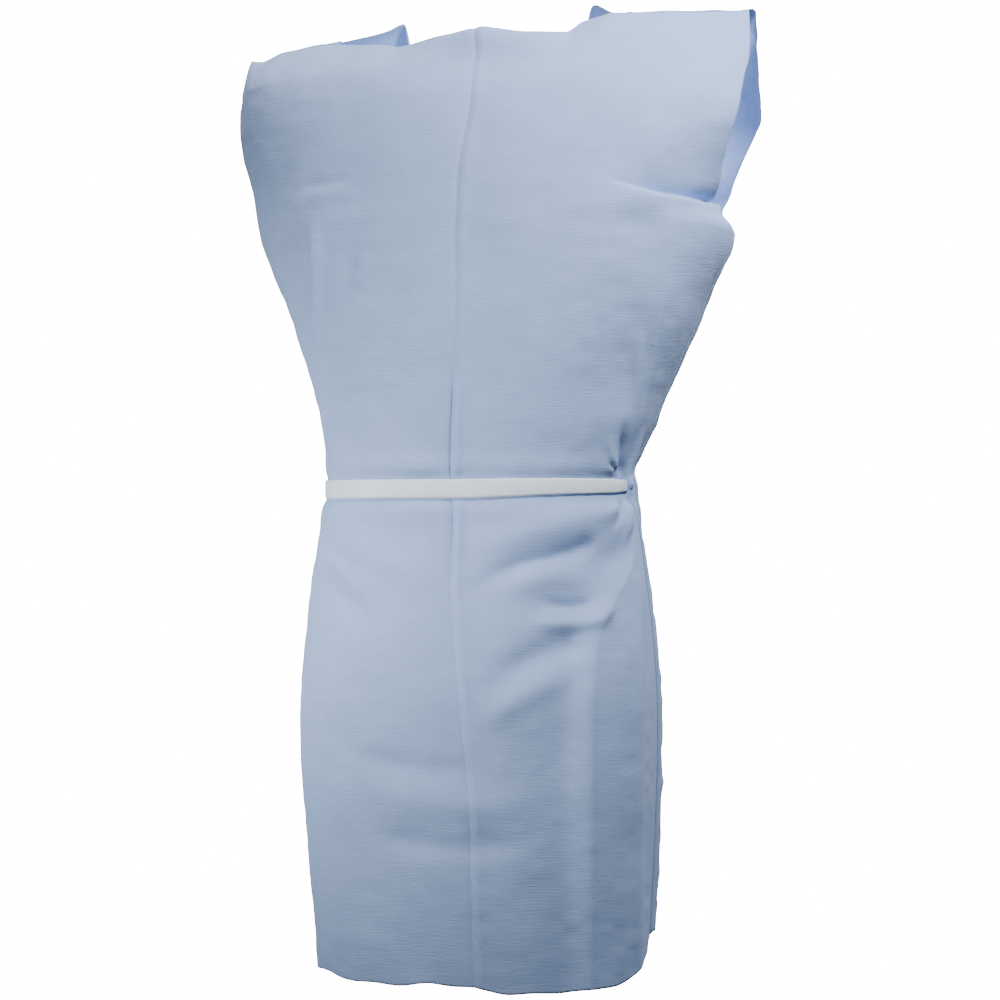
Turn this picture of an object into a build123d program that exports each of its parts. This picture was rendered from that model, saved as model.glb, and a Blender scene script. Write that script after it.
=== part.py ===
"""Sleeveless disposable patient gown with a waist tie, in its worn shape, in millimetres.

The front faces -Y, +Z is up and +X is the side on the right when the front is looked at.
The origin is the middle of the shoulder line, where a wearer's neck and shoulders carry the gown.
Each cloth panel is a thin closed shell whose level sections follow a rounded ring.
"""
from build123d import *
from math import ceil, cos, pi, radians, sin
import os

os.makedirs("parts", exist_ok=True)

# ---- driving dimensions ----
CLOTH = 1.2  # shell thickness that stands in for the three-ply sheet
TOP_Z = -12.0  # level of the neckline and of the foot of the shoulder strips
UNDERARM_Z = -224.0  # bottom of both arm openings
WAIST_Z = -488.5
FLAP_TOP_Z = -516.0  # both skirt flaps swing free below this level
GAP = 0.6  # clearance between a swinging flap and the sheet it is part of

SEAM_HALF_DEG = 3.0  # half the angle that a bonded side seam takes up on the ring
SEAM_FILL_DEG = 2.6  # half the angle of the seam strip itself, just clear of both panels
ARM_REACH_WIDE = 6.0  # how far, in degrees, a raw edge stands back at the middle of an arm opening
ARM_REACH_NARROW = 1.5

LAP = 4.0  # how far the outer back panel stands off the ring where it laps the inner one
OUTER_EDGE_X = -60.0  # free edge of the outer back panel
INNER_EDGE_X = 30.0  # free edge of the inner back panel
INNER_FOLD_X = -95.0  # vertical fold that the inner skirt flap swings about

TIE_W = 19.5  # width of the flat waist tie
TIE_T = 0.8
TIE_OFF = 2.2  # clearance from the ring to the tie
KNOT = (-129.3, 104.6, WAIST_Z)
KNOT_SIZE = (30.0, 12.0, 26.0)
KNOT_TURN = 24.5  # degrees that the knot is turned to lie along the ring
TAIL_L = {"right": 245.0, "left": 230.0}  # hanging length of each tie end
TAIL_SPREAD = 11.5  # sideways distance of a hanging end from the middle of the knot
TAIL_TOP_Y = 108.0
TAIL_LEAN = 8.0  # degrees that the hanging ends lean out over the wider skirt

# worn outline: level, centre x, half width, depth in front of the shoulder line
STATIONS = [
    (TOP_Z, 0.0, 275.0, 62.0),
    (-45.0, -5.0, 284.0, 90.0),
    (-90.0, -5.0, 287.0, 114.0),  # widest point of the arm openings
    (-175.0, -12.0, 259.0, 130.0),
    (UNDERARM_Z, -11.0, 251.0, 133.0),
    (-300.0, -7.0, 225.0, 132.0),  # chest
    (-410.0, -12.0, 183.0, 122.0),
    (-486.0, -22.0, 165.0, 113.0),  # waist
    (-530.0, -22.0, 174.0, 118.0),
    (-720.0, -20.0, 191.0, 145.0),  # hip
    (-1004.0, -15.0, 176.0, 139.0),  # hem
]
BACK_SHARE = 0.955  # depth behind the shoulder line, as a share of that in front
LONGEST_STEP = 75.0  # farthest apart that two sections of a loft may be

# hem line seen from the front: it rises towards +X
HEM = [(-240, -1000), (-100, -994), (60, -991), (120, -986), (150, -974), (172, -957), (240, -957)]

# top of each shoulder strip, from the neck outwards
RIGHT_RIDGE = [(100.0, 22.0), (125.0, 15.0), (165.0, 12.0), (210.0, 10.0), (270.0, 7.0)]
LEFT_RIDGE = [(-100.0, 13.0), (-125.0, 10.0), (-165.0, 6.0), (-210.0, 1.0), (-270.0, -4.0)]


# ---- the ring that every panel follows ----
def smooth(v, low, high):
    """0 below low, 1 above high, an even blend between them."""
    s = min(max((v - low) / (high - low), 0.0), 1.0)
    return s * s * (3 - 2 * s)


def slopes(zs, vals):
    """Slope at each station that lets a smooth run through them never overshoot."""
    steps = [(b - a) / (zb - za) for a, b, za, zb in zip(vals, vals[1:], zs, zs[1:])]
    inner = [2 * p * q / (p + q) if p * q > 0 else 0.0 for p, q in zip(steps, steps[1:])]
    return [steps[0]] + inner + [steps[-1]]


def between(z, column):
    """Value of one column of the outline at any level."""
    zs = [row[0] for row in STATIONS]
    vals = [row[column] for row in STATIONS]
    m = slopes(zs, vals)
    z = min(max(z, zs[-1]), zs[0])
    i = next(k for k in range(len(zs) - 1) if z >= zs[k + 1])
    h = zs[i + 1] - zs[i]
    t = (z - zs[i]) / h
    start = (2 * t**3 - 3 * t**2 + 1) * vals[i] + (t**3 - 2 * t**2 + t) * h * m[i]
    end = (-2 * t**3 + 3 * t**2) * vals[i + 1] + (t**3 - t**2) * h * m[i + 1]
    return start + end


def roundness(z):
    """Exponent of the ring: near 2 is an oval, higher is boxier."""
    return 2.1 + 0.3 * smooth(-z, 12, 130) + 0.4 * smooth(-z, 486, 720)


def ring_point(z, deg, off=0.0):
    """Point on the ring at an angle: 0 is the +X side, 90 the back and -90 the front."""
    cx, a, front = (between(z, column) for column in (1, 2, 3))
    n = roundness(z)
    c = cos(radians(deg))
    s = sin(radians(deg))
    b = front * BACK_SHARE if s > 0 else front
    r = (abs(c / (a + off)) ** n + abs(s / (b + off)) ** n) ** (-1 / n)
    return (cx + r * c, r * s)


def arm_angle(z, reach):
    """How far the raw edge at the arm opening lies from the side at this level."""
    if z <= UNDERARM_Z:
        return SEAM_HALF_DEG
    return SEAM_HALF_DEG + reach * sin(pi * (TOP_Z - z) / (TOP_Z - UNDERARM_Z))


def loft_levels():
    """Every station, and evenly spaced levels between stations that are far apart."""
    levels = [TOP_Z]
    for upper, lower in zip(STATIONS, STATIONS[1:]):
        n = ceil((upper[0] - lower[0]) / LONGEST_STEP)
        levels += [upper[0] + (lower[0] - upper[0]) * (k + 1) / n for k in range(n)]
    return levels


def flush(deg):
    """Stand-off of a panel that lies on the ring."""
    return 0.0


def lapped(deg):
    """Stand-off of the outer back panel, which lifts before it reaches the inner one."""
    return LAP * smooth(deg, 15, 55)


def around_tie(deg):
    """Stand-off of the waist tie: on the front panel, and behind over the lapped back panels."""
    return TIE_OFF + (LAP + 0.4) * smooth(deg, 5, 40) * (1 - smooth(deg, 130, 170))


def closed_face(outer, inner):
    """Face between an outer run of points and an inner one."""
    with BuildLine() as edge:
        Spline(*outer)
        Line(outer[-1], inner[-1])
        Spline(*inner[::-1])
        Line(inner[0], outer[0])
    return Face(edge.wire())


def strip_sections(ends, off, steps):
    """Sections of a thin curved strip at every level; ends gives its two angles by level."""
    sections = []
    for z in loft_levels():
        start, end = ends(z)
        degs = [start + (end - start) * i / steps for i in range(steps + 1)]
        outer = [ring_point(z, d, off(d)) for d in degs]
        inner = [ring_point(z, d, off(d) - CLOTH) for d in degs]
        sections.append(Plane.XY.offset(z) * closed_face(outer, inner))
    return sections


def front_ends(z):
    """The front panel stands back from the arm on the right and reaches round on the left."""
    return (-180 + arm_angle(z, ARM_REACH_NARROW), -arm_angle(z, ARM_REACH_WIDE))


def outer_back_ends(z):
    """From the right side to past the free edge, which is trimmed straight afterwards."""
    return (arm_angle(z, ARM_REACH_NARROW), 135)


def inner_back_ends(z):
    """From the left side to past the free edge, which is trimmed straight afterwards."""
    return (180 - arm_angle(z, ARM_REACH_WIDE), 60)


def seam_ends(middle):
    """Both edges of a side seam strip, the same at every level."""
    return lambda z: (middle - SEAM_FILL_DEG, middle + SEAM_FILL_DEG)


with BuildSketch(Plane.XZ) as below_hem:
    Polygon(*HEM, (240, -1100), (-240, -1100), align=None)

# ---- front panel: one sheet from the hem to the neckline ----
with BuildPart() as front_panel:
    loft(strip_sections(front_ends, flush, 24))
    extrude(below_hem.sketch, amount=300, both=True, mode=Mode.SUBTRACT)

# ---- outer back panel, on the +X side: everything down to just below the tie ----
with BuildPart() as back_right_panel:
    loft(strip_sections(outer_back_ends, lapped, 20))
    split(bisect_by=Plane.YZ.offset(OUTER_EDGE_X), keep=Keep.TOP)
    split(bisect_by=Plane.XY.offset(FLAP_TOP_Z), keep=Keep.TOP)

# ---- outer skirt flap: the outer back panel below the tie, swinging about the side seam ----
with BuildPart() as back_right_flap:
    loft(strip_sections(outer_back_ends, lapped, 20))
    split(bisect_by=Plane.YZ.offset(OUTER_EDGE_X), keep=Keep.TOP)
    split(bisect_by=Plane.XY.offset(FLAP_TOP_Z - GAP), keep=Keep.BOTTOM)
    extrude(below_hem.sketch, amount=300, both=True, mode=Mode.SUBTRACT)

# ---- inner back panel, on the -X side, without the flap below the tie ----
with BuildPart() as back_left_panel:
    loft(strip_sections(inner_back_ends, flush, 20))
    split(bisect_by=Plane.YZ.offset(INNER_EDGE_X), keep=Keep.BOTTOM)
    with Locations((INNER_FOLD_X - GAP, 0, FLAP_TOP_Z)):
        Box(400, 600, 600, align=(Align.MIN, Align.CENTER, Align.MAX), mode=Mode.SUBTRACT)
    extrude(below_hem.sketch, amount=300, both=True, mode=Mode.SUBTRACT)

# ---- inner skirt flap: lies under the outer flap at rest ----
with BuildPart() as back_left_flap:
    loft(strip_sections(inner_back_ends, flush, 20))
    split(bisect_by=Plane.YZ.offset(INNER_EDGE_X), keep=Keep.BOTTOM)
    split(bisect_by=Plane.YZ.offset(INNER_FOLD_X), keep=Keep.TOP)
    split(bisect_by=Plane.XY.offset(FLAP_TOP_Z - GAP), keep=Keep.BOTTOM)
    extrude(below_hem.sketch, amount=300, both=True, mode=Mode.SUBTRACT)

# ---- bonded side seams, from the underarm to the hem ----
with BuildPart() as side_seam_right:
    loft(strip_sections(seam_ends(0), flush, 4))
    split(bisect_by=Plane.XY.offset(UNDERARM_Z), keep=Keep.BOTTOM)
    extrude(below_hem.sketch, amount=300, both=True, mode=Mode.SUBTRACT)

with BuildPart() as side_seam_left:
    loft(strip_sections(seam_ends(180), flush, 4))
    split(bisect_by=Plane.XY.offset(UNDERARM_Z), keep=Keep.BOTTOM)
    extrude(below_hem.sketch, amount=300, both=True, mode=Mode.SUBTRACT)


# ---- shoulder strips: the joined tops of the front and back panels ----
def roof_sections(ridge_line):
    """Arcs over the shoulder, each from its foot on the front panel to that on the back one."""
    sections = []
    cx, a, front = STATIONS[0][1:]
    n = roundness(TOP_Z)
    for x, ridge in ridge_line:
        depth = (1 - (abs(x - cx) / a) ** n) ** (1 / n)
        front_foot, back_foot = -front * depth, front * BACK_SHARE * depth
        rise = ridge - TOP_Z
        outer = [(front_foot, TOP_Z), (front_foot * 0.75, TOP_Z + 0.62 * rise),
                 (front_foot * 0.35, ridge - 0.1 * rise), (0, ridge), (back_foot * 0.35, ridge - 0.1 * rise),
                 (back_foot * 0.75, TOP_Z + 0.62 * rise), (back_foot, TOP_Z)]
        narrower = 1 - CLOTH / abs(front_foot)
        inner = [(y * narrower, z if z == TOP_Z else z - CLOTH) for y, z in outer]
        sections.append(Plane.YZ.offset(x) * closed_face(outer, inner))
    return sections


with BuildPart() as shoulder_right:
    loft(roof_sections(RIGHT_RIDGE))

with BuildPart() as shoulder_left:
    loft(roof_sections(LEFT_RIDGE))

# ---- waist tie: flat band round the waist, knot behind, two hanging ends ----
with BuildPart() as tie_band:
    with BuildSketch(Plane.XY.offset(WAIST_Z - TIE_W / 2)):
        with BuildLine():
            Spline(*[ring_point(WAIST_Z, d, around_tie(d) + TIE_T) for d in range(-180, 180, 6)], periodic=True)
        make_face()
        with BuildLine():
            Spline(*[ring_point(WAIST_Z, d, around_tie(d)) for d in range(-180, 180, 6)], periodic=True)
        make_face(mode=Mode.SUBTRACT)
    extrude(amount=TIE_W)

with BuildPart() as tie_knot:
    with Locations(Location(KNOT, (0, 0, KNOT_TURN))):
        Box(*KNOT_SIZE)
    fillet(tie_knot.edges(), 4)

TAIL_TOP_Z = WAIST_Z - KNOT_SIZE[2] / 2 - 1.0
with BuildPart() as tie_tail_right:
    with Locations(Location((KNOT[0] + TAIL_SPREAD, TAIL_TOP_Y, TAIL_TOP_Z), (TAIL_LEAN, 0, 0))):
        Box(TIE_W, TIE_T, TAIL_L["right"], align=(Align.CENTER, Align.CENTER, Align.MAX))

with BuildPart() as tie_tail_left:
    with Locations(Location((KNOT[0] - TAIL_SPREAD, TAIL_TOP_Y, TAIL_TOP_Z), (TAIL_LEAN, 0, 0))):
        Box(TIE_W, TIE_T, TAIL_L["left"], align=(Align.CENTER, Align.CENTER, Align.MAX))

PIECES = {
    "front_panel": front_panel,
    "back_right_panel": back_right_panel,
    "back_right_flap": back_right_flap,
    "back_left_panel": back_left_panel,
    "back_left_flap": back_left_flap,
    "side_seam_right": side_seam_right,
    "side_seam_left": side_seam_left,
    "shoulder_right": shoulder_right,
    "shoulder_left": shoulder_left,
    "tie_band": tie_band,
    "tie_knot": tie_knot,
    "tie_tail_right": tie_tail_right,
    "tie_tail_left": tie_tail_left,
}
for name, piece in PIECES.items():
    piece.part.label = name
    export_step(piece.part, f"parts/{name}.step")
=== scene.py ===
import math
import bmesh
import bpy
import numpy as np
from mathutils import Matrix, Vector


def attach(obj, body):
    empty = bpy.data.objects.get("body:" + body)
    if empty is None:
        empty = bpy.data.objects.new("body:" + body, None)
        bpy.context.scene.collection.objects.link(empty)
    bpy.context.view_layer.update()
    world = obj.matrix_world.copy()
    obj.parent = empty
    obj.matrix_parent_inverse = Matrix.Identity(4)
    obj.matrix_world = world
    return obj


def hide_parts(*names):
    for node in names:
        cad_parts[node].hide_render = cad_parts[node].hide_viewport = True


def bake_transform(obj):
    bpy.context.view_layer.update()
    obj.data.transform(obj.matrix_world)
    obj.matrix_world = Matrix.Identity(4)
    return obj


# A worn disposable patient gown in pale blue laminated sheet with a flat white waist tie, in metres.
# The front faces -Y, +Z is up and +X is the side on the right when the front is looked at.
# Each panel is a grid of points on a rounded ring, pushed in and out by the folds laid on its flat sheet.
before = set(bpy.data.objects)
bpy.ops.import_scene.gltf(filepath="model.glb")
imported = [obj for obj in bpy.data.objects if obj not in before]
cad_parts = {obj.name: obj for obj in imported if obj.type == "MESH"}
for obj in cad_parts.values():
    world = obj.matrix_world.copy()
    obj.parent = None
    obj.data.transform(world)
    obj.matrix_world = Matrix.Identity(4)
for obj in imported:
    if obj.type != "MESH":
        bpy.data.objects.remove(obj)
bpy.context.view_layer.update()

# ---------------------------------------------------------------- driving dimensions
# worn outline: level, ring centre x, half width, depth in front of the shoulder line
STATIONS = np.array([
    (-0.012, 0.000, 0.275, 0.062),
    (-0.045, -0.005, 0.284, 0.090),
    (-0.090, -0.005, 0.287, 0.114),
    (-0.175, -0.012, 0.259, 0.130),
    (-0.224, -0.011, 0.251, 0.133),
    (-0.300, -0.007, 0.225, 0.132),
    (-0.410, -0.012, 0.183, 0.122),
    (-0.486, -0.022, 0.165, 0.113),
    (-0.530, -0.022, 0.174, 0.118),
    (-0.720, -0.020, 0.191, 0.145),
    (-1.004, -0.015, 0.176, 0.139),
])
BACK_SHARE = 0.955  # depth behind the shoulder line, as a share of that in front
ARM_TOP_Z, UNDERARM_Z = -0.012, -0.224  # ends of both arm openings
YOKE_Z = -0.055  # above this level the panels turn over towards the shoulder line
WAIST_Z = -0.4885
SKIRT_END_Z = -0.99  # nominal end of a panel, before the hem line takes over
SKIRT_LAP = 0.003  # half the overlap of the inner back panel and its skirt, under the tie

EDGE_TURN = 1.0  # degrees that a panel's side edge stands back from the side
ARM_WIDE, ARM_NARROW = 10.5, 3.5  # degrees more at the middle of an arm opening
LAP = 0.004  # the outer back panel stands this far off the ring, over the inner one
OUTER_EDGE_X, INNER_EDGE_X = -0.060, 0.030  # free edges of the two back panels
INNER_FOLD_X = -0.095  # fold that the inner skirt flap turns about
FOLD_UNDERLAY = 0.014  # the fixed side of the inner skirt runs this far past the fold

SHEET_THICKNESS, RIBBON_THICKNESS = 0.0005, 0.0004
TIE_WIDTH = 0.0195
TIE_OFF = 0.0024  # clearance from the ring to the tie
SEAM_HALF_WIDTH, SEAM_OFF = 0.0052, 0.0007

FRONT, OUTER, INNER = "front", "outer", "inner"
COLUMNS = 420  # of the front panel's grid
ROW_PITCH = 0.0024
YOKE_ROWS = 24

# shoulder line, and neckline between the shoulders: x, level, y
FRONT_RIDGE = np.array([
    (-0.272, -0.014, 0.0), (-0.25, -0.006, 0.0), (-0.21, -0.002, 0.0), (-0.165, -0.004, -0.004),
    (-0.125, -0.011, -0.022), (-0.10, -0.018, -0.038), (-0.04, -0.016, -0.070), (0.0, -0.012, -0.078),
    (0.05, -0.018, -0.074), (0.085, -0.016, -0.055), (0.10, 0.000, -0.032), (0.125, 0.009, -0.014),
    (0.165, 0.010, -0.004), (0.21, 0.009, 0.0), (0.25, 0.008, 0.0), (0.272, 0.009, 0.0),
])
BACK_RIDGE = np.array([
    (-0.272, -0.014, 0.0), (-0.25, -0.006, 0.001), (-0.21, 0.000, 0.002), (-0.165, 0.008, 0.008),
    (-0.135, 0.018, 0.020), (-0.116, 0.026, 0.028), (-0.110, -0.004, 0.034), (-0.09, -0.013, 0.045),
    (0.0, -0.016, 0.056), (0.08, -0.006, 0.048), (0.10, 0.028, 0.016), (0.125, 0.018, 0.008),
    (0.165, 0.012, 0.003), (0.21, 0.010, 0.002), (0.25, 0.009, 0.001), (0.272, 0.010, 0.0),
])
# hem line: angle on the ring, level
HEM = np.array([
    (0, -0.958), (15, -0.964), (40, -0.978), (90, -0.988), (150, -0.992), (180, -0.993), (200, -0.993),
    (215, -0.992), (235, -0.991), (270, -0.989), (310, -0.996), (325, -0.993), (340, -0.985),
    (350, -0.972), (360, -0.958),
])

# Folds are laid out on the flat sheet. A place is (s, z): s is the distance along the cloth from the
# middle of the front, + towards +X, and z is the level. Heights are outward.
# packing crease down the front: metres below the shoulder line, distance s
PACKING_CREASE = np.array([
    (0.0, -0.003), (0.1, 0.003), (0.25, -0.004), (0.33, -0.008), (0.41, -0.009), (0.50, 0.0),
    (0.58, 0.002), (0.63, 0.006), (0.67, 0.011), (0.74, 0.017), (0.82, 0.023), (1.02, 0.023),
])
CHEST_CREASE = [(0.144, -0.178), (0.200, -0.189), (0.245, -0.193), (0.290, -0.195)]
CHEST_EDGE = [(0.214, -0.195), (0.209, -0.26), (0.204, -0.33), (0.200, -0.43)]
SKIRT_EDGE = [(0.220, -0.520), (0.210, -0.562), (0.181, -0.592), (0.163, -0.614), (0.155, -0.652),
              (0.150, -0.78), (0.149, -1.06)]
# broad fullness: centre, size, height
FRONT_PUFFS = [
    ((0.170, -0.265), (0.050, 0.085), 0.008),
    ((-0.06, -0.12), (0.07, 0.10), 0.003),
    ((0.06, -0.20), (0.05, 0.12), 0.003),
]
# places on the run, height (below 0 for a valley), width, and the shares over which its ends fade
CHEST_FOLDS = [
    ([(0.184, -0.32), (0.187, -0.37), (0.190, -0.42)], 0.0030, 0.007, (0.4, 0.4)),
    ([(-0.157, -0.195), (-0.168, -0.27), (-0.181, -0.35), (-0.176, -0.43)], 0.0045, 0.010, (0.2, 0.4)),
    ([(-0.196, -0.22), (-0.205, -0.30), (-0.205, -0.40)], -0.006, 0.018, (0.3, 0.4)),
    ([(-0.112, -0.235), (-0.128, -0.28), (-0.154, -0.325)], -0.0020, 0.009, (0.3, 0.3)),
    ([(-0.100, -0.245), (-0.112, -0.29)], 0.0012, 0.012, (0.3, 0.3)),
    ([(-0.190, -0.176), (-0.160, -0.174), (-0.105, -0.170)], -0.0016, 0.006, (0.4, 0.6)),
    ([(-0.194, -0.190), (-0.150, -0.186), (-0.100, -0.184)], 0.0012, 0.010, (0.4, 0.6)),
]
ABOVE_TIE_FOLDS = [
    ([(0.172, -0.410), (0.179, -0.445), (0.191, -0.484)], -0.0055, 0.0055, (0.6, 0.0)),
    ([(0.156, -0.430), (0.168, -0.460), (0.178, -0.484)], 0.0030, 0.0050, (0.5, 0.0)),
    ([(0.160, -0.457), (0.170, -0.466), (0.178, -0.474)], -0.0035, 0.0028, (0.4, 0.1)),
    ([(0.205, -0.420), (0.205, -0.455), (0.202, -0.486)], 0.0045, 0.0070, (0.5, 0.0)),
    ([(0.222, -0.440), (0.217, -0.462), (0.212, -0.480)], -0.0050, 0.0050, (0.5, 0.0)),
]
BELOW_TIE_FOLDS = [
    ([(0.203, -0.496), (0.212, -0.508), (0.224, -0.524)], -0.0035, 0.0045, (0.2, 0.6)),
    ([(0.195, -0.496), (0.186, -0.515), (0.170, -0.532)], -0.0034, 0.0060, (0.2, 0.6)),
    ([(0.184, -0.500), (0.168, -0.512), (0.140, -0.520)], 0.0040, 0.0090, (0.3, 0.6)),
    ([(0.205, -0.500), (0.203, -0.525), (0.200, -0.550)], 0.0050, 0.0080, (0.1, 0.5)),
]
SWAGS = [  # they hang from both ends of the tie across the thighs
    ([(0.165, -0.516), (0.110, -0.525), (0.050, -0.543), (0.012, -0.570)], 0.0050, 0.014, (0.2, 0.5)),
    ([(0.160, -0.540), (0.110, -0.556), (0.055, -0.572), (0.010, -0.602)], -0.0062, 0.009, (0.15, 0.5)),
    ([(0.158, -0.578), (0.095, -0.577), (0.040, -0.600)], 0.0050, 0.013, (0.3, 0.5)),
    ([(0.158, -0.604), (0.118, -0.605), (0.080, -0.599)], -0.0050, 0.0065, (0.2, 0.5)),
    ([(0.172, -0.596), (0.156, -0.619), (0.115, -0.623), (0.074, -0.620)], 0.0062, 0.0085, (0.2, 0.35)),
    ([(0.152, -0.643), (0.112, -0.648), (0.074, -0.664), (0.036, -0.694)], -0.0066, 0.015, (0.2, 0.4)),
    ([(0.136, -0.672), (0.090, -0.690), (0.050, -0.715), (0.026, -0.740)], 0.0034, 0.013, (0.3, 0.4)),
    ([(-0.172, -0.508), (-0.110, -0.545), (-0.050, -0.572), (-0.004, -0.590)], 0.0036, 0.014, (0.3, 0.4)),
    ([(-0.155, -0.570), (-0.110, -0.605), (-0.062, -0.645)], -0.0034, 0.012, (0.3, 0.4)),
    ([(-0.168, -0.545), (-0.120, -0.578), (-0.080, -0.606)], 0.0028, 0.011, (0.3, 0.4)),
]
SKIRT_FOLDS = [  # packing folds, and soft rises beside the edge where the skirt turns to its side
    ([(-0.120, -0.756), (-0.050, -0.768), (0.064, -0.772)], -0.0026, 0.012, (0.3, 0.5)),
    ([(-0.112, -0.792), (0.000, -0.806), (0.126, -0.800)], 0.0030, 0.016, (0.3, 0.4)),
    ([(-0.100, -0.838), (0.000, -0.848), (0.110, -0.840)], -0.0030, 0.013, (0.3, 0.4)),
    ([(-0.110, -0.735), (-0.112, -0.800), (-0.106, -0.880)], 0.0012, 0.010, (0.4, 0.4)),
    ([(s - 0.008, z) for s, z in SKIRT_EDGE], 0.0010, 0.012, (0.1, 0.01)),
    ([(0.216, -0.58), (0.216, -0.78), (0.212, -1.06)], 0.0030, 0.012, (0.2, 0.01)),
]
# small gathers along the tie: distance s, reach above, reach below, height
TIE_GATHERS = [
    (0.142, 0.022, 0.024, -0.0024), (0.128, 0.020, 0.026, 0.0022), (0.100, 0.014, 0.022, -0.0020),
    (0.086, 0.012, 0.020, 0.0016), (0.040, 0.010, 0.014, -0.0012), (-0.040, 0.012, 0.014, 0.0012),
    (-0.110, 0.016, 0.018, -0.0014), (-0.150, 0.020, 0.022, 0.0018), (-0.170, 0.030, 0.035, -0.0024),
    (-0.186, 0.030, 0.035, 0.0022),
]
BACK_GATHERS = 12
BACK_CREASES = [(-0.25, -0.0010), (-0.42, 0.0008), (-0.62, -0.0012), (-0.80, 0.0012)]  # level, height


# ---------------------------------------------------------------- curves
def smooth(value, low, high):
    """0 below low, 1 above high, and a smooth rise between them."""
    share = np.clip((np.asarray(value, float) - low) / (high - low), 0, 1)
    return share * share * (3 - 2 * share)


def bell(value, centre, width):
    """1 at the centre, fading on both sides."""
    return np.exp(-(((value - centre) / width) ** 2))


def hermite(x, xs, ys):
    """Smooth run through the points, without overshoot."""
    steps = np.diff(xs)
    slopes = np.diff(ys) / steps
    tangents = np.zeros_like(ys)
    for i in range(1, len(xs) - 1):
        if slopes[i - 1] * slopes[i] > 0:
            before = 2 * steps[i] + steps[i - 1]
            after = steps[i] + 2 * steps[i - 1]
            tangents[i] = (before + after) / (before / slopes[i - 1] + after / slopes[i])
    tangents[0], tangents[-1] = slopes[0], slopes[-1]
    x = np.clip(np.asarray(x, float), xs[0], xs[-1])
    k = np.clip(np.searchsorted(xs, x) - 1, 0, len(steps) - 1)
    t = (x - xs[k]) / steps[k]
    return ((2 * t**3 - 3 * t**2 + 1) * ys[k] + (t**3 - 2 * t**2 + t) * steps[k] * tangents[k]
            + (-2 * t**3 + 3 * t**2) * ys[k + 1] + (t**3 - t**2) * steps[k] * tangents[k + 1])


def catmull(u, values):
    """Smooth run through evenly spaced values, at u = 0, 1, 2 ..."""
    k = np.clip(u.astype(int), 0, len(values) - 2)
    t = u - k
    padded = np.concatenate([[2 * values[0] - values[1]], values, [2 * values[-1] - values[-2]]])
    a, b, c, d = padded[k], padded[k + 1], padded[k + 2], padded[k + 3]
    return 0.5 * (2 * b + (c - a) * t + (2 * a - 5 * b + 4 * c - d) * t**2 + (3 * b - a - 3 * c + d) * t**3)


def rounded(points, per_span=12):
    """The same few points as a smooth run."""
    points = np.asarray(points, float)
    if len(points) < 3:
        return points
    u = np.linspace(0, len(points) - 1, per_span * (len(points) - 1) + 1)
    return np.stack([catmull(u, points[:, k]) for k in (0, 1)], 1)


def travelled(points):
    """Distance along a line of points, from its first one."""
    return np.concatenate([[0], np.cumsum(np.linalg.norm(np.diff(points, axis=0), axis=1))])


# ---------------------------------------------------------------- the ring
def ring(z):
    """Centre x, half width, front depth and squareness of the worn outline at a level."""
    z = np.asarray(z, float)
    centre, half, front = [hermite(-z, -STATIONS[:, 0], STATIONS[:, k]) for k in (1, 2, 3)]
    return centre, half, front, 2.1 + 0.3 * smooth(-z, 0.012, 0.130) + 0.4 * smooth(-z, 0.486, 0.720)


def ring_xy(z, deg, off=0.0):
    """Point on the ring at an angle: 0 is the +X side, 90 the back and -90 the front."""
    centre, half, front, power = ring(z)
    c, s = np.cos(np.radians(deg)), np.sin(np.radians(deg))
    depth = front * (1 + (BACK_SHARE - 1) * smooth(s, -0.06, 0.06))
    radius = (np.abs(c / (half + off)) ** power + np.abs(s / (depth + off)) ** power) ** (-1 / power)
    return centre + radius * c, radius * s


def ring_strip(z, degrees, off):
    """One row of a strip that lies on the ring."""
    level = np.full(len(degrees), z)
    x, y = ring_xy(level, degrees, off)
    return np.stack([x, y, level], 1)


def run_at_level(z):
    """Angles round the ring, and their distance along the cloth from the middle of the front."""
    degrees = np.linspace(-270, 270, 2161)
    run = travelled(np.stack(ring_xy(z, degrees), 1))
    return degrees, run - np.interp(-90.0, degrees, run)


def degrees_at_x(z, x):
    """Angle at which the back of the ring reaches this x, give or take the cloth's own waver."""
    x = x + 0.0022 * math.sin(9.0 * z + 40 * x) + 0.0010 * math.sin(31.0 * z)
    degrees = np.linspace(20, 160, 561)
    xs, _ = ring_xy(z, degrees)
    return float(np.interp(-x, -xs, degrees))


def hem_z(deg):
    """Level of the hem, with the slight waver of a cut edge."""
    waver = 0.0016 * np.sin(np.radians(deg) * 7 + 0.6) + 0.0010 * np.sin(np.radians(deg) * 17)
    return waver + hermite(np.asarray(deg, float) % 360, HEM[:, 0], HEM[:, 1])


def arm_turn(z, reach):
    """Degrees from the side to a raw edge. Below the underarm the edge is under the seam strip."""
    down = np.clip((ARM_TOP_Z - z) / (ARM_TOP_Z - UNDERARM_Z), 0, 1)
    return EDGE_TURN + reach * math.sin(math.pi * down) ** 1.15


# ---------------------------------------------------------------- folds
def fold(places, points, height, width, ends):
    """A ridge or valley along a run of points, fading at its ends."""
    distance, share = along(places, rounded(points))
    fade = smooth(share, 0, ends[0]) * (1 - smooth(share, 1 - max(ends[1], 1e-6), 1))
    return height * fade * bell(distance, 0, width)


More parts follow.
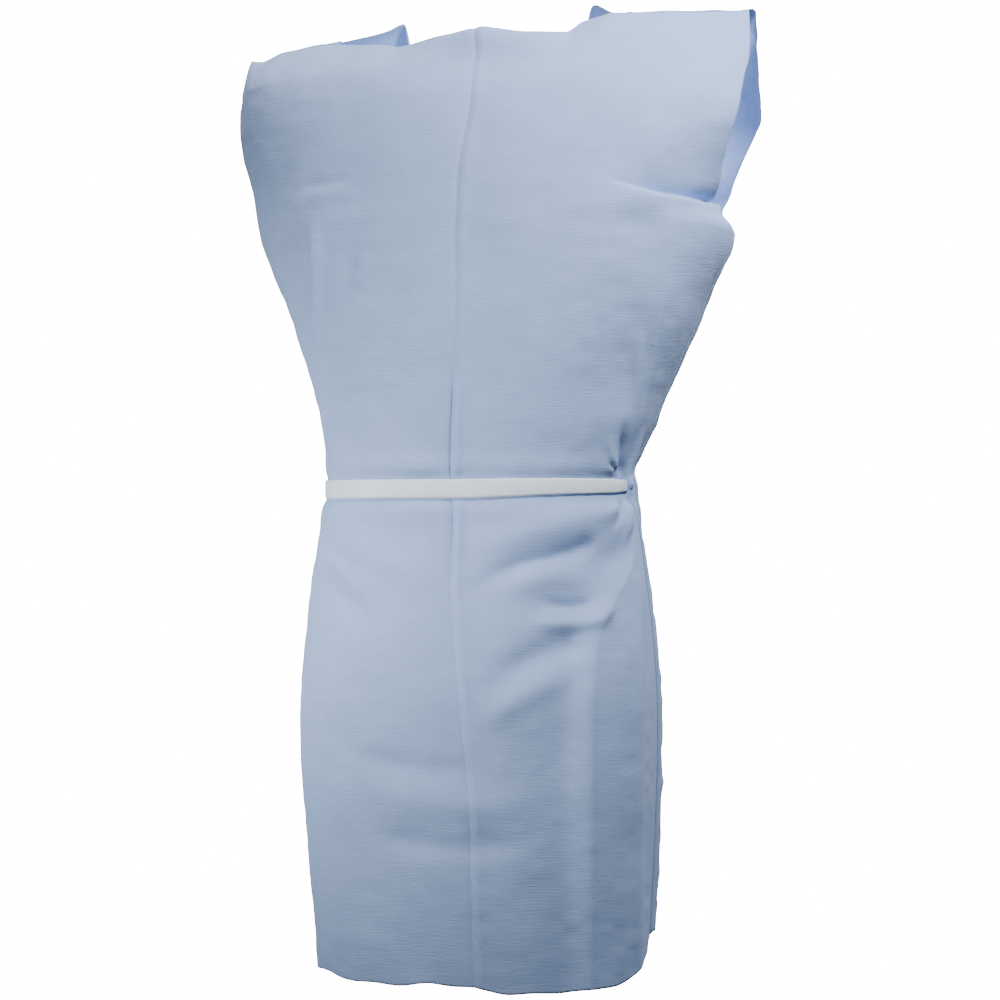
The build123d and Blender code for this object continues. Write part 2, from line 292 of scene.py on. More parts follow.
def along(places, points):
    """Signed distance of each place from a run of points (+ on its left), and the share of its length."""
    spans = np.diff(points, axis=0)
    lengths = np.hypot(spans[:, 0], spans[:, 1])
    nearest = np.full(len(places), 1e9)
    distance, share = np.zeros(len(places)), np.zeros(len(places))
    start = 0.0
    for point, span, length in zip(points, spans, lengths):
        offset = places - point
        t = np.clip((offset @ span) / (length * length), 0, 1)
        across = offset - t[:, None] * span
        gap = np.hypot(across[:, 0], across[:, 1])
        side = np.sign(span[0] * offset[:, 1] - span[1] * offset[:, 0])
        closer = gap < nearest
        nearest[closer] = gap[closer]
        distance[closer] = (side * gap)[closer]
        share[closer] = ((start + t * length) / lengths.sum())[closer]
        start += length
    return distance, share


def puff(places, centre, size, height):
    """A broad rounded rise."""
    return height * np.exp(-(((places - centre) / size) ** 2).sum(1))


def turn_edge(places, points, drop, width, ends, far, soft=0.0):
    """An edge down the cloth, with a drop on its -s side that fades by far. soft rounds it lower down."""
    distance, _ = along(places, rounded(points))
    top, bottom = points[0][1], points[-1][1]
    level = (top - places[:, 1]) / (top - bottom)
    fade = smooth(level, 0, ends[0]) * (1 - smooth(level, 1 - ends[1], 1))
    away = np.clip(-distance, 0, None)
    power = 1 + soft * smooth(level, 0.15, 0.35)
    return -drop * fade * (1 - np.exp(-((away / width) ** power))) * bell(away, 0, far)


def step_crease(places, points, depth, lip, above_width, below_width):
    """A sharp crease: the cloth above sinks into it and a puffed lip stands out below it."""
    distance, share = along(places, rounded(points))
    grow = smooth(share, 0.0, 0.55) * (share < 1.0)
    above, below = np.clip(distance, 0, None), np.clip(-distance, 0, None)
    over = -depth * np.exp(-above / above_width)
    under = (-depth + (depth + lip) * (1 - bell(below, 0, 0.0032))) * np.exp(-below / below_width)
    return grow * np.where(distance >= 0, over, under)


def lattice(places, cell, seed):
    """Smooth unevenness from -1 to 1, the same on every run."""
    q = places / np.asarray(cell)
    corner = np.floor(q).astype(np.int64)
    f = q - corner
    f = f * f * f * (f * (f * 6 - 15) + 10)

    def corner_value(a, b):
        mixed = (a * 374761393 + b * 668265263 + seed * 974634777) & 0xFFFFFFFF
        mixed = ((mixed ^ (mixed >> 13)) * 1274126177) & 0xFFFFFFFF
        mixed = mixed ^ (mixed >> 16)
        return (mixed & 0xFFFF) / 32767.5 - 1

    a, b = corner[:, 0], corner[:, 1]
    near = corner_value(a, b) * (1 - f[:, 0]) + corner_value(a + 1, b) * f[:, 0]
    far = corner_value(a, b + 1) * (1 - f[:, 0]) + corner_value(a + 1, b + 1) * f[:, 0]
    return near * (1 - f[:, 1]) + far * f[:, 1]


def packing_crease(s, z):
    """A fine valley with a raised lip down the whole front, deepest near the tie."""
    across = s - hermite(-z, PACKING_CREASE[:, 0], PACKING_CREASE[:, 1])
    deep = 0.80 + 1.5 * smooth(-z, 0.33, 0.40) * (1 - smooth(-z, 0.54, 0.60))
    valley = -0.0017 * np.exp(-np.abs(across / 0.0030))
    lip = 0.0011 * bell(across, 0.0075, 0.0055)
    return deep * (valley + lip) + 0.0022 * bell(across, -0.03, 0.03) * smooth(-z, 0.05, 0.4)


def front_folds(s, z):
    places = np.stack([s, z], 1)
    height = packing_crease(s, z)
    height += step_crease(places, CHEST_CREASE, 0.011, 0.004, 0.015, 0.055)
    height += turn_edge(places, CHEST_EDGE, 0.013, 0.022, (0.15, 0.3), 0.06)
    height += turn_edge(places, SKIRT_EDGE, 0.013, 0.020, (0.08, 0.01), 0.08, soft=0.8)
    for puffed in FRONT_PUFFS:
        height += puff(places, *puffed)
    for folded in CHEST_FOLDS + ABOVE_TIE_FOLDS + BELOW_TIE_FOLDS + SWAGS + SKIRT_FOLDS:
        height += fold(places, *folded)
    for k, (at, up, down, rise) in enumerate(TIE_GATHERS):
        lean = 0.010 * math.sin(2.3 * k)
        points = [(at + lean, WAIST_Z + up), (at, WAIST_Z), (at - lean * 0.6, WAIST_Z - down)]
        height += fold(places, points, rise, 0.0055, (0.55, 0.55))
    # unevenness of a sheet that has been folded small
    calm = 0.6 + 0.4 * smooth(np.abs(s), 0.05, 0.2)
    uneven = (0.0018 * lattice(places, (0.085, 0.11), 3) + 0.0012 * lattice(places, (0.04, 0.05), 5)
              + 0.00045 * lattice(places, (0.018, 0.013), 9))
    return height + calm * uneven


def back_folds(s, z, seed):
    """Gathers at the tie, packing creases and long soft falls."""
    places = np.stack([s, z], 1)
    height = np.zeros(len(places))
    for k in range(BACK_GATHERS):
        at = 0.262 + 0.038 * k + 0.007 * math.sin(5.1 * k + seed)
        rise = (0.0040 if k % 2 else -0.0040) * (0.75 + 0.25 * math.sin(3.7 * k + seed))
        up = 0.09 + 0.03 * math.sin(2.1 * k)
        down = 0.13 + 0.05 * math.sin(1.3 * k + seed)
        points = [(at, WAIST_Z + up), (at, WAIST_Z), (at - 0.004, WAIST_Z - down)]
        height += fold(places, points, rise, 0.010, (0.6, 0.6))
    height += 0.0022 * lattice(places, (0.07, 0.22), 11 + seed)
    height += 0.0012 * lattice(places, (0.035, 0.06), 13 + seed)
    height += 0.0005 * lattice(places, (0.018, 0.013), 17 + seed)
    for level, rise in BACK_CREASES:
        height += rise * np.exp(-np.abs((z - level) / 0.004))
    return height


# ---------------------------------------------------------------- panel surfaces
def row_shares(top, bottom):
    """Where a panel's rows lie between its top and bottom, closer together at the chest crease."""
    even = np.linspace(0, 1, 2001)
    density = 1 + 2.2 * bell(top + (bottom - top) * even, -0.188, 0.020)
    total = np.concatenate([[0], np.cumsum((density[1:] + density[:-1]) / 2)])
    rows = max(3, int((top - bottom) / ROW_PITCH))
    return np.interp(np.linspace(0, 1, rows), total / total[-1], even)


def patch(kind, columns, top, bottom, edges, to_hem=True):
    """A panel's points, their distance s along the cloth and their angles. edges gives both at a level."""
    shares = row_shares(top, bottom)
    points = np.zeros((len(shares), columns, 3))
    across = np.zeros((len(shares), columns))
    angles = np.zeros((len(shares), columns))
    for i, share in enumerate(shares):
        level = top + (bottom - top) * share
        dense = np.linspace(*edges(level), 721)
        run = travelled(np.stack(ring_xy(level, dense), 1))
        deg = np.interp(np.linspace(0, run[-1], columns), run, dense)
        z = top + (hem_z(deg) - top) * share if to_hem else np.full(columns, level)
        off = LAP * smooth(deg, 15.0, 55.0) if kind == OUTER else 0.0
        points[i] = np.stack([*ring_xy(z, deg, off), z], 1)
        angles[i] = deg
        across[i] = np.interp(deg, *run_at_level(level))
    return points, across, angles


def with_yoke(kind, points, across, angles):
    """The patch with rows added on top, bent over to the shoulder line or ending at the neckline."""
    first, second = points[0], points[1]
    columns = len(first)
    rising = (first - second) / np.linalg.norm(first - second, axis=1, keepdims=True)
    ridge = FRONT_RIDGE if kind == FRONT else BACK_RIDGE
    end_z, end_y = [hermite(first[:, 0], ridge[:, 0], ridge[:, k]) for k in (1, 2)]
    inset = 0.985 + (0.015 * smooth(first[:, 0], 0.20, 0.27) if kind == FRONT else 0.0)
    end = np.stack([first[:, 0] * inset, end_y, end_z], 1)
    reach = np.linalg.norm(end - first, axis=1, keepdims=True)
    inward = np.full(columns, 1.0 if kind == FRONT else -1.0)
    at_neck = 1 - smooth(np.abs(first[:, 0]), 0.085, 0.135)
    arriving = np.stack([np.zeros(columns), inward, at_neck * 0.9], 1)
    arriving /= np.linalg.norm(arriving, axis=1, keepdims=True)
    fullness = 0.30 + 0.95 * smooth(first[:, :1], -0.10, 0.04) if kind == FRONT else 1.0
    t = np.linspace(0, 1, YOKE_ROWS + 1)[1:, None, None]
    yoke = ((2 * t**3 - 3 * t**2 + 1) * first + (t**3 - 2 * t**2 + t) * rising * reach * 1.2 * fullness
            + (-2 * t**3 + 3 * t**2) * end + (t**3 - t**2) * arriving * reach * fullness)
    across, angles = [np.concatenate([np.repeat(grid[:1], YOKE_ROWS, 0), grid]) for grid in (across, angles)]
    return np.concatenate([yoke[::-1], points]), across, angles


def outward(points, height):
    """The grid pushed out from the gown's middle by a height at each point."""
    normals = np.cross(np.gradient(points, axis=1), np.gradient(points, axis=0))
    normals /= np.maximum(np.linalg.norm(normals, axis=2, keepdims=True), 1e-12)
    middle = np.array([-0.01, 0.0, 0.0])
    side = np.sign((((points - middle) * normals)[..., :2]).sum())
    return points + normals * side * height[..., None]


def at_tie(z):
    """1 where the tie grips the cloth."""
    return 1 - smooth(np.abs(z - WAIST_Z), 0.0105, 0.021)


def flare(deg, z):
    """The right side: a notch at the foot of the sleeve, a point below it, and a pinch above the tie."""
    side = 1 - smooth(np.abs(deg), 4.0, 26.0)
    out = 0.0105 * smooth(-z, 0.203, 0.220) * (1 - smooth(-z, 0.226, 0.300))
    return side * (out - 0.004 * bell(z, -0.468, 0.010) - 0.006 * bell(z, -0.197, 0.012))


def over_tie(deg, z):
    """1 where the cloth beside the right side seam bulges over the tie and hides it."""
    slant = 110 * (z - WAIST_Z)
    near = 1 - smooth(np.abs(deg + 0.5 + slant), 7.3, 9.3)
    return near * bell(z, WAIST_Z, 0.021)


def shaped(kind, surface, folds, calm=()):
    """The patch with its folds, flat where the tie grips it and calm beside a seam (first 0, last 1)."""
    points, across, angles = surface
    z = points[..., 2]
    height = folds(across.reshape(-1), z.reshape(-1)).reshape(across.shape)
    if kind == INNER:
        height = height * (0.35 + 0.9 * smooth(angles, 118, 132))
        height -= 0.0012 * smooth(points[..., 0], -0.10, -0.055)
    if kind == OUTER:
        lowest = -0.0022 - 0.0050 * (1 - smooth(angles, 40, 60))
        height = np.clip(1.5 * height, lowest, 0.0075) + 0.0006
    columns = across.shape[1]
    width = np.abs(np.diff(across, axis=1)).sum(1, keepdims=True)
    from_first = np.arange(columns)[None] / (columns - 1) * width
    under_arm = smooth(-z, 0.225, 0.245)
    for edge in calm:
        gap = from_first if edge == 0 else width - from_first
        height = height * (1 - under_arm * (1 - smooth(gap, 0.003, 0.022)))
    cover = over_tie(angles, z)
    grip = at_tie(z) * (1 - cover)
    height = height * (1 - grip) + grip * np.minimum(height, 0.0) * 0.35 - 0.0006 * grip
    height = height + 0.0018 * bell(np.abs(z - WAIST_Z), 0.024, 0.010) + 0.0050 * cover
    if kind != INNER:
        height = height + flare(angles, z)
    return outward(points, height)


# ---------------------------------------------------------------- meshes
def grid_mesh(name, points, u, v, closed=False):
    """A grid of points as a smooth mesh with cloth coordinates u, v. A closed one joins its last column."""
    index = np.arange(u.size).reshape(u.shape)
    if closed:
        following = np.roll(index, -1, axis=1)
        faces = np.stack([index[:-1], following[:-1], following[1:], index[1:]], -1)
    else:
        faces = np.stack([index[:-1, :-1], index[1:, :-1], index[1:, 1:], index[:-1, 1:]], -1)
    mesh = bpy.data.meshes.new(name)
    mesh.from_pydata(points.reshape(-1, 3).tolist(), [], faces.reshape(-1, 4).tolist())
    mesh.polygons.foreach_set("use_smooth", [True] * len(mesh.polygons))
    corners = np.empty(len(mesh.loops), int)
    mesh.loops.foreach_get("vertex_index", corners)
    coordinates = np.stack([u.reshape(-1)[corners], v.reshape(-1)[corners]], 1)
    mesh.uv_layers.new(name="cloth").data.foreach_set("uv", coordinates.reshape(-1).tolist())
    piece = bpy.data.objects.new(name, mesh)
    bpy.context.scene.collection.objects.link(piece)
    return piece


def cloth_mesh(name, points, across):
    """A grid whose cloth coordinates are the distance across it and the mean distance down its rows."""
    steps = np.linalg.norm(np.diff(points, axis=0), axis=2).mean(axis=1)
    down = np.concatenate([[0], np.cumsum(steps)])
    return grid_mesh(name, points, across, np.repeat((down[-1] - down)[:, None], points.shape[1], axis=1))


def select_only(pieces):
    for other in bpy.context.selected_objects:
        other.select_set(False)
    for piece in pieces:
        piece.select_set(True)
    bpy.context.view_layer.objects.active = pieces[0]


def thicken(piece, thickness):
    solidify = piece.modifiers.new("thickness", "SOLIDIFY")
    solidify.thickness = thickness
    solidify.offset = 0
    select_only([piece])
    bpy.ops.object.modifier_apply(modifier="thickness")


def sheet_piece(name, *grids):
    """One sheet of the gown from one or more grids: (points, distance across)."""
    pieces = [cloth_mesh(f"{name}_{k}" if k else name, *grid) for k, grid in enumerate(grids)]
    select_only(pieces)
    if len(pieces) > 1:
        bpy.ops.object.join()
    pieces[0].data.materials.append(SHEET)
    thicken(pieces[0], SHEET_THICKNESS)
    return pieces[0]


def ribbon(name, points, material):
    """A narrow strip from a grid of points."""
    rows, columns = points.shape[:2]
    piece = cloth_mesh(name, points, np.repeat(np.linspace(0, 0.01, columns)[None], rows, 0))
    piece.data.materials.append(material)
    thicken(piece, RIBBON_THICKNESS)
    return piece


# ---------------------------------------------------------------- materials
def noise(tree, uv, scale, detail):
    """Noise stretched over the cloth coordinates."""
    mapping = tree.nodes.new("ShaderNodeMapping")
    mapping.inputs["Scale"].default_value = scale
    tree.links.new(uv.outputs[0], mapping.inputs[0])
    texture = tree.nodes.new("ShaderNodeTexNoise")
    texture.inputs["Scale"].default_value = 1.0
    texture.inputs["Detail"].default_value = detail
    tree.links.new(mapping.outputs[0], texture.inputs["Vector"])
    return texture.outputs["Fac"]


def cloth_material(name, colour, rough, crepe, sheen=0.0):
    """Creped cloth: fine streaks across it, in height and colour, over a broader change of colour."""
    material = bpy.data.materials.new(name)
    material.use_nodes = True
    tree = material.node_tree
    shader = tree.nodes["Principled BSDF"]
    shader.inputs["Roughness"].default_value = rough
    shader.inputs["Sheen Weight"].default_value = sheen
    shader.inputs["Specular IOR Level"].default_value = 0.25
    uv = tree.nodes.new("ShaderNodeUVMap")
    uv.uv_map = "cloth"
    streaks = noise(tree, uv, (48, 620, 1), 3.0)
    patches = noise(tree, uv, (22, 30, 1), 4.0)
    shift = tree.nodes.new("ShaderNodeMath")
    shift.operation = "SUBTRACT"
    shift.inputs[1].default_value = 0.45
    tree.links.new(patches, shift.inputs[0])
    both = tree.nodes.new("ShaderNodeMath")
    both.operation = "MULTIPLY_ADD"
    both.inputs[1].default_value = 0.9
    tree.links.new(streaks, both.inputs[0])
    tree.links.new(shift.outputs[0], both.inputs[2])
    tint = tree.nodes.new("ShaderNodeMix")
    tint.data_type = "RGBA"
    tint.inputs["A"].default_value = (*[channel * 0.92 for channel in colour], 1)
    tint.inputs["B"].default_value = (*[min(1, channel * 1.08) for channel in colour], 1)
    tree.links.new(both.outputs[0], tint.inputs["Factor"])
    tree.links.new(tint.outputs["Result"], shader.inputs["Base Color"])
    relief = tree.nodes.new("ShaderNodeBump")
    relief.inputs["Strength"].default_value = crepe
    relief.inputs["Distance"].default_value = 0.0007
    tree.links.new(streaks, relief.inputs["Height"])
    tree.links.new(relief.outputs[0], shader.inputs["Normal"])
    return material


BLUE = (0.33, 0.46, 0.77)
SHEET = cloth_material("gown_sheet", BLUE, 0.8, 0.55, 0.05)
SEAM = cloth_material("gown_seam", tuple(channel * 0.93 for channel in BLUE), 0.75, 0.3)
TIE = cloth_material("gown_tie", (0.75, 0.84, 1.0), 0.45, 0.15)


# ---------------------------------------------------------------- panels
def front_edges(z):
    return -180 + arm_turn(z, ARM_NARROW), -arm_turn(z, ARM_WIDE)


def outer_edges(z):
    return arm_turn(z, ARM_NARROW), degrees_at_x(z, OUTER_EDGE_X)


def inner_edges(z):
    return 180 - arm_turn(z, ARM_WIDE), degrees_at_x(z, INNER_EDGE_X)


def inner_side_edges(z):
    """The fixed side of the inner skirt, which runs on under its flap."""
    return 180 - arm_turn(z, ARM_WIDE), degrees_at_x(z, INNER_FOLD_X + FOLD_UNDERLAY)


def inner_flap_edges(z):
    return degrees_at_x(z, INNER_FOLD_X), degrees_at_x(z, INNER_EDGE_X)


def outer_folds(s, z):
    return back_folds(s, z, 1)


def inner_folds(s, z):
    return back_folds(s, z, 2)


def front_panel():
    surface = with_yoke(FRONT, *patch(FRONT, COLUMNS, YOKE_Z, SKIRT_END_Z, front_edges))
    points = shaped(FRONT, surface, front_folds, calm=(0, 1))
    front = sheet_piece("front_sheet", (points, surface[1]))
    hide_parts("front_panel")
    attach(front, "gown")
    return points


def outer_panel():
    surface = with_yoke(OUTER, *patch(OUTER, COLUMNS * 2 // 3, YOKE_Z, SKIRT_END_Z, outer_edges))
    points = shaped(OUTER, surface, outer_folds, calm=(0,))
    outer = sheet_piece("back_outer_sheet", (points, surface[1]))
    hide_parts("back_right_panel", "back_right_flap")
    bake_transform(outer)
    return points


def inner_panel():
    flat = patch(INNER, COLUMNS * 2 // 3, YOKE_Z, WAIST_Z - SKIRT_LAP, inner_edges, to_hem=False)
    bodice = with_yoke(INNER, *flat)
    points = shaped(INNER, bodice, inner_folds, calm=(0,))
    side = patch(INNER, COLUMNS // 3, WAIST_Z + SKIRT_LAP, SKIRT_END_Z, inner_side_edges)
    tuck = 0.0012 * smooth(side[0][..., 0], INNER_FOLD_X - 0.004, INNER_FOLD_X + 0.004)
    side_points = outward(shaped(INNER, side, inner_folds, calm=(0,)), -tuck)
    inner = sheet_piece("back_inner_sheet", (points, bodice[1]), (side_points, side[1]))
    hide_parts("back_left_panel")
    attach(inner, "gown")
    return points


def inner_skirt():
    surface = patch(INNER, COLUMNS // 4, WAIST_Z + SKIRT_LAP, SKIRT_END_Z, inner_flap_edges)
    flap = sheet_piece("back_inner_flap", (shaped(INNER, surface, inner_folds), surface[1]))
    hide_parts("back_left_flap")
    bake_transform(flap)


# ---------------------------------------------------------------- bonded seams
def side_seam(name, middle, node):
    """Strip over a side seam, from the underarm to the hem, at an angle on the ring."""
    across = np.linspace(-1, 1, 7)
    crown = SEAM_OFF + 0.0004 * (1 - np.abs(across) ** 4)
    rows = []
    for z in np.linspace(UNDERARM_Z - 0.002, float(hem_z(middle % 360)) + 0.0008, 160):
        side_x, _ = ring_xy(z, middle)
        half = math.degrees(SEAM_HALF_WIDTH / abs(float(side_x) + 0.012))
        lift = 0.0050 * float(over_tie(middle, z))
        if middle == 0:
            lift += float(flare(middle, z))
        pressed = 0.0006 * float(at_tie(z)) if lift < 0.001 else 0.0
        rows.append(ring_strip(z, middle + half * across, crown - pressed + lift))
    seam = ribbon(name, np.stack(rows), SEAM)
    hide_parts(node)
    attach(seam, "gown")


def seam_allowance():
    """Inside edge of the right back panel, past its seam: it closes the seam when the flap swings."""
    degrees = np.linspace(-6.0, 1.4, 7)
    inside = np.linspace(-0.0026, -0.0016, 7)
    levels = np.linspace(WAIST_Z - 0.030, float(hem_z(358.0)) + 0.002, 120)
    strip = ribbon("seam_allowance_right", np.stack([ring_strip(z, degrees, inside) for z in levels]), SHEET)
    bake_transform(strip)


def row_at_x(row, x):
    """y and z of a row of points at each x."""
    order = np.argsort(row[:, 0])
    return [np.interp(x, row[order, 0], row[order, k]) for k in (1, 2)]


def shoulder_seam(name, start_x, end_x, front, back, node):
    """Joined edge of the front and back panels along the shoulder, three rows deep on each."""
    x = np.linspace(start_x, end_x, 80)
    front_y, front_z = row_at_x(front[0], x)
    back_y, back_z = row_at_x(back[0], x)
    lines = []
    for k in (3, 2, 1):
        y, z = row_at_x(front[k], x)
        lines.append(np.stack([x, y, z + SEAM_OFF], 1))
    lines.append(np.stack([x, (front_y + back_y) / 2, np.maximum(front_z, back_z) + 0.0008], 1))
    for k in (1, 2, 3):
        y, z = row_at_x(back[k], x)
        lines.append(np.stack([x, y, z + SEAM_OFF], 1))
    seam = ribbon(name, np.stack(lines, 1), SHEET)
    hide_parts(node)
    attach(seam, "gown")


# ---------------------------------------------------------------- tie
def tie_band():
    """The band round the waist. It narrows where it goes under the cloth at the right."""
    rows, columns = 9, 720
    deg = np.linspace(-180, 180, columns, endpoint=False)
    rise = 0.003 * smooth(np.cos(np.radians(deg)), 0.0, 1.0)
    over_lap = (LAP + 0.0004) * smooth(deg, 5, 40) * (1 - smooth(deg, 130, 170))
    before_cover = 1 - smooth(deg, 5, 40)
    narrowing = (0.25 * smooth(deg, -80, -14) + 0.22 * smooth(deg, -20, -8)) * before_cover
    points = np.zeros((rows, columns, 3))
    for j, across in enumerate(np.linspace(-0.5, 0.5, rows)):
        crown = 0.0006 * math.cos(math.pi * across) - 0.0004
        x, y = ring_xy(np.full(columns, WAIST_Z), deg, TIE_OFF + over_lap + crown)
        points[j] = np.stack([x, y, WAIST_Z + rise + across * TIE_WIDTH * (1 - narrowing)], 1)
    u, v = np.meshgrid(np.linspace(0, 0.94, columns), np.linspace(0, TIE_WIDTH, rows))
    band = grid_mesh("waist_tie", points, u, v, closed=True)
    band.data.materials.append(TIE)
    thicken(band, SHEET_THICKNESS)
    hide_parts("tie_band")
    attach(band, "gown")


def signed_power(value, power):
    return np.sign(value) * np.abs(value) ** power


def tie_knot():
    """A flat overhand knot wrapped on itself, with a spread foot that the two ends leave from."""
    turn = math.radians(24.5)
    centre = np.array([-0.1293, 0.1040, WAIST_Z])
    around, up = np.meshgrid(np.linspace(0, 2 * math.pi, 96, endpoint=False),
                             np.linspace(-math.pi / 2, math.pi / 2, 64))
    x = 0.0145 * signed_power(np.cos(up), 0.6) * signed_power(np.cos(around), 0.7)
    y = 0.0062 * signed_power(np.cos(up), 0.8) * signed_power(np.sin(around), 0.9)
    z = 0.0140 * signed_power(np.sin(up), 0.7)
    wrap = 0.0009 * np.sin((x * 0.8 + z) / 0.0031) * np.cos(up)
    wrap += 0.0006 * np.sin((x - z * 1.6) / 0.0047 + 1.0)
    y = y + wrap * np.sign(y + 1e-9) * np.abs(np.sin(around)) ** 0.5
    waisted = 1 - 0.22 * bell(z, 0, 0.004)
    x = x * waisted * (1 + 0.30 * smooth(-z, 0.002, 0.011))
    z = np.where(z < 0, 1.16 * z, z)
    turned = [x * math.cos(turn) - y * math.sin(turn), x * math.sin(turn) + y * math.cos(turn), z]
    knot = grid_mesh("tie_knot_wrap", np.stack(turned, -1) + centre, x, z, closed=True)
    poles = bmesh.new()
    poles.from_mesh(knot.data)
    bmesh.ops.remove_doubles(poles, verts=poles.verts, dist=1e-5)
    poles.to_mesh(knot.data)
    poles.free()
    knot.data.materials.append(TIE)
    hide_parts("tie_knot")
    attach(knot, "gown")


END_TOP_Y, END_TOP_Z = 0.108, WAIST_Z - 0.014  # where the hanging ends leave the knot
END_LEAN = math.radians(8)  # they lean out over the wider skirt
END_ROWS, CUT_ROW = 90, 85  # rows of an end, and the first one of its slanted cut


def hanging_route(x, length, waver):
    """Points of a hanging end, from the knot down. waver is +1 or -1, for two unlike ends."""
    route = []
    for k in range(7):
        z = END_TOP_Z - length * math.cos(END_LEAN) * k / 6
        y = END_TOP_Y + (END_TOP_Z - z) * math.tan(END_LEAN) + 0.0011 * math.sin(1.7 * k + waver)
        route.append((x + waver * 0.0012 * math.sin(1.9 * k), y, z))
    return route


def smooth_route(name, route, count):
    """Evenly spaced points on a smooth curve along the route, and how far down it each one is."""
    path = bpy.data.curves.new(name + "_route", "CURVE")
    path.dimensions = "3D"
    spline = path.splines.new("NURBS")
    spline.points.add(len(route) - 1)
    for knot, place in zip(spline.points, route):
        knot.co = (*place, 1)
    spline.order_u = 4
    spline.use_endpoint_u = True
    spline.resolution_u = 12
    drawn = bpy.data.objects.new(name + "_route", path)
    bpy.context.scene.collection.objects.link(drawn)
    line = np.array([vertex.co for vertex in bpy.data.meshes.new_from_object(drawn).vertices])
    bpy.data.objects.remove(drawn)
    run = travelled(line)
    even = np.linspace(0, run[-1], count)
    return np.stack([np.interp(even, run, line[:, k]) for k in range(3)], 1), even


def tie_end(name, node, body, x, length, waver):
    """A limp flat end of the tie that hangs from the knot."""
    route = hanging_route(x, length, waver)
    line, run = smooth_route(name, route, END_ROWS)
    across = np.linspace(-1, 1, 9)
    rows = []
    for i, centre in enumerate(line):
        down = run[i] / run[-1]
        turn = waver * (0.15 + 0.55 * math.sin(3.4 * down))
        cup = 0.0008 * (1 - across * across) * math.cos(9 * down)
        half = across * TIE_WIDTH / 2
        pinched = half * (1 - 0.25 * math.exp(-run[i] / 0.012))
        slant = half * 0.06 * (i >= CUT_ROW)
        rows.append(centre + np.stack([pinched * math.cos(turn), pinched * math.sin(turn) + cup, slant], 1))
    end = ribbon(name, np.stack(rows), TIE)
    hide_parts(node)
    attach(end, body)


# ---------------------------------------------------------------- the gown
front_points = front_panel()
outer_points = outer_panel()
inner_points = inner_panel()
inner_skirt()
side_seam("seam_side_right", 0.0, "side_seam_right")
side_seam("seam_side_left", 180.0, "side_seam_left")
seam_allowance()
shoulder_seam("seam_shoulder_right", 0.140, 0.272, front_points, outer_points, "shoulder_right")
shoulder_seam("seam_shoulder_left", -0.268, -0.180, front_points, inner_points, "shoulder_left")
tie_band()
tie_knot()
tie_end("tie_end_right", "tie_tail_right", "tail_right", -0.1178, 0.245, 1)
tie_end("tie_end_left", "tie_tail_left", "tail_left", -0.1408, 0.230, -1)


# ---------------------------------------------------------------- stage, lights, camera
STAGE_GLOW = 22.0


def white(name):
    material = bpy.data.materials.new(name)
    material.use_nodes = True
    shader = material.node_tree.nodes["Principled BSDF"]
    shader.inputs["Base Color"].default_value = (0.9, 0.9, 0.9, 1)
    shader.inputs["Roughness"].default_value = 0.9
    shader.inputs["Emission Color"].default_value = (1, 1, 1, 1)
    shader.inputs["Emission Strength"].default_value = STAGE_GLOW
    return material


def stage():
    """A white floor and backdrop that the camera sees and that put no light on the gown."""
    bpy.ops.mesh.primitive_plane_add(size=80, location=(0, 0, -1.30))
    floor = bpy.context.object
    floor.name = "floor"
    bpy.ops.mesh.primitive_uv_sphere_add(radius=38, segments=48, ring_count=24)
    backdrop = bpy.context.object
    backdrop.name = "backdrop"
    for surface in (floor, backdrop):
        surface.data.materials.append(white(surface.name + "_white"))
        surface.visible_diffuse = False
        surface.visible_glossy = False
        surface.visible_transmission = False
        surface.visible_shadow = False


def add_light(light, place):
    lamp = bpy.data.objects.new(light.name, light)
    lamp.location = place
    bpy.context.scene.collection.objects.link(lamp)
    return lamp


def area_light(name, place, target, size, power, spread=180):
    light = bpy.data.lights.new(name, "AREA")
    light.shape = "RECTANGLE"
    light.size, light.size_y = size
    light.energy = power
    light.spread = math.radians(spread)
    lamp = add_light(light, place)
    lamp.rotation_euler = (Vector(target) - Vector(place)).to_track_quat("-Z", "Y").to_euler()


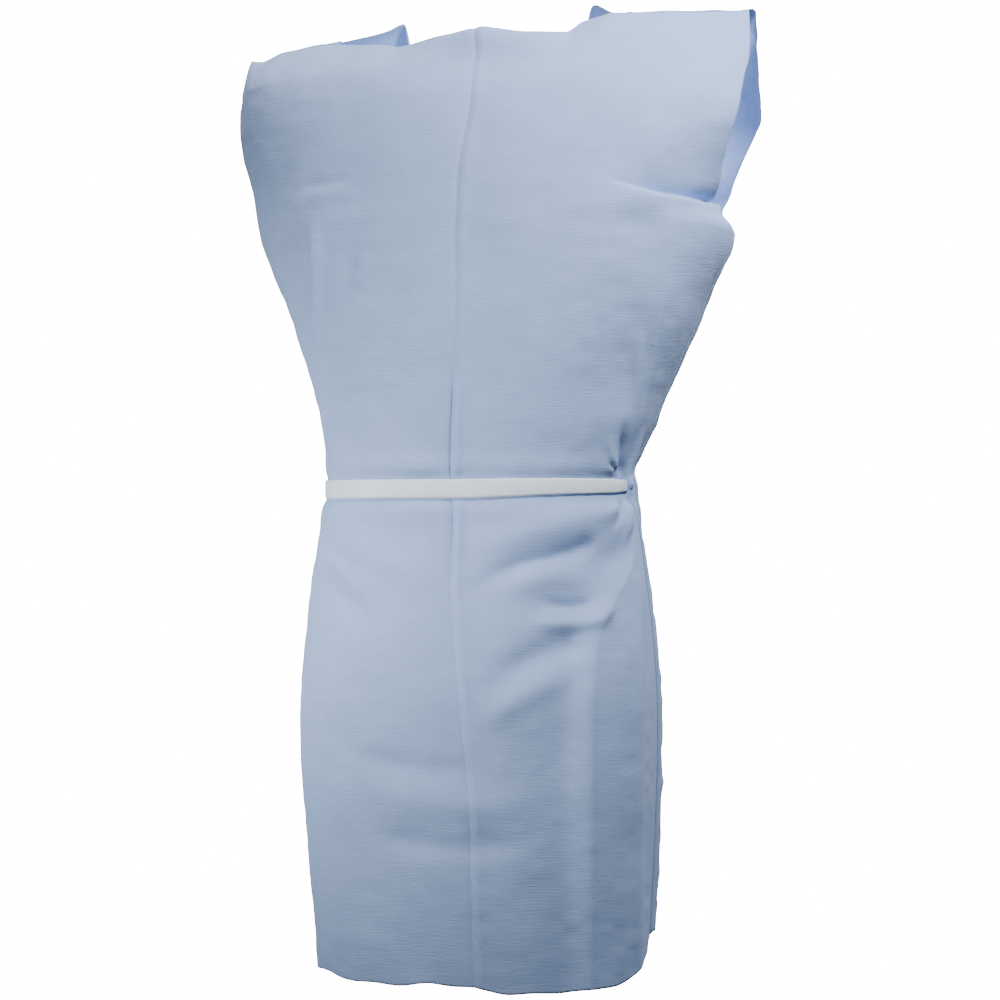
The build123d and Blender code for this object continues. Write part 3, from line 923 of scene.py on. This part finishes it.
def inside_light(name, place, power):
    """Light that comes through the thin cloth, inside the gown."""
    light = bpy.data.lights.new(name, "POINT")
    light.energy = power
    light.shadow_soft_size = 0.08
    add_light(light, place)


def lights():
    world = bpy.data.worlds.new("world")
    bpy.context.scene.world = world
    world.use_nodes = True
    world.node_tree.nodes["Background"].inputs["Color"].default_value = (0.93, 0.96, 1, 1)
    world.node_tree.nodes["Background"].inputs["Strength"].default_value = 0.06
    area_light("key", (0.72, -0.66, 0.50), (0.20, 0.0, -0.10), (0.3, 0.3), 26.0)
    area_light("front", (-0.25, -1.50, -0.42), (-0.09, -0.12, -0.46), (0.35, 0.35), 0.35, spread=40)
    area_light("left", (-1.05, -0.75, -0.62), (-0.14, -0.08, -0.58), (0.25, 0.35), 2.1, spread=60)
    area_light("crown", (-0.5, 0.10, 0.75), (-0.15, 0.0, -0.05), (0.5, 0.5), 8.5)
    inside_light("glow_left", (-0.12, 0.0, -0.13), 0.5)
    inside_light("glow_right", (0.11, -0.02, -0.12), 0.35)
    area_light("rear_right", (1.0, 1.4, 0.15), (0.0, 0.1, -0.35), (0.8, 0.8), 16)
    area_light("rear_left", (-0.9, 1.5, -0.55), (-0.05, 0.1, -0.6), (0.6, 0.8), 9)


CAMERA_TURN = math.radians(14)  # from straight in front, towards +X
CAMERA_DISTANCE = 2.05
CAMERA_Z = -0.50
SENSOR_MM = 36
FOCAL_SHARE = 1.91  # focal length, as a share of the sensor's width


def camera():
    lens = bpy.data.cameras.new("camera")
    lens.sensor_width = SENSOR_MM
    lens.lens = FOCAL_SHARE * SENSOR_MM
    lens.clip_end = 200
    view = bpy.data.objects.new("camera", lens)
    across = CAMERA_DISTANCE * math.sin(CAMERA_TURN)
    ahead = -CAMERA_DISTANCE * math.cos(CAMERA_TURN)
    view.location = (across, ahead, CAMERA_Z)
    view.rotation_euler = (math.pi / 2, 0, CAMERA_TURN)
    bpy.context.scene.collection.objects.link(view)
    bpy.context.scene.camera = view


stage()
lights()
camera()
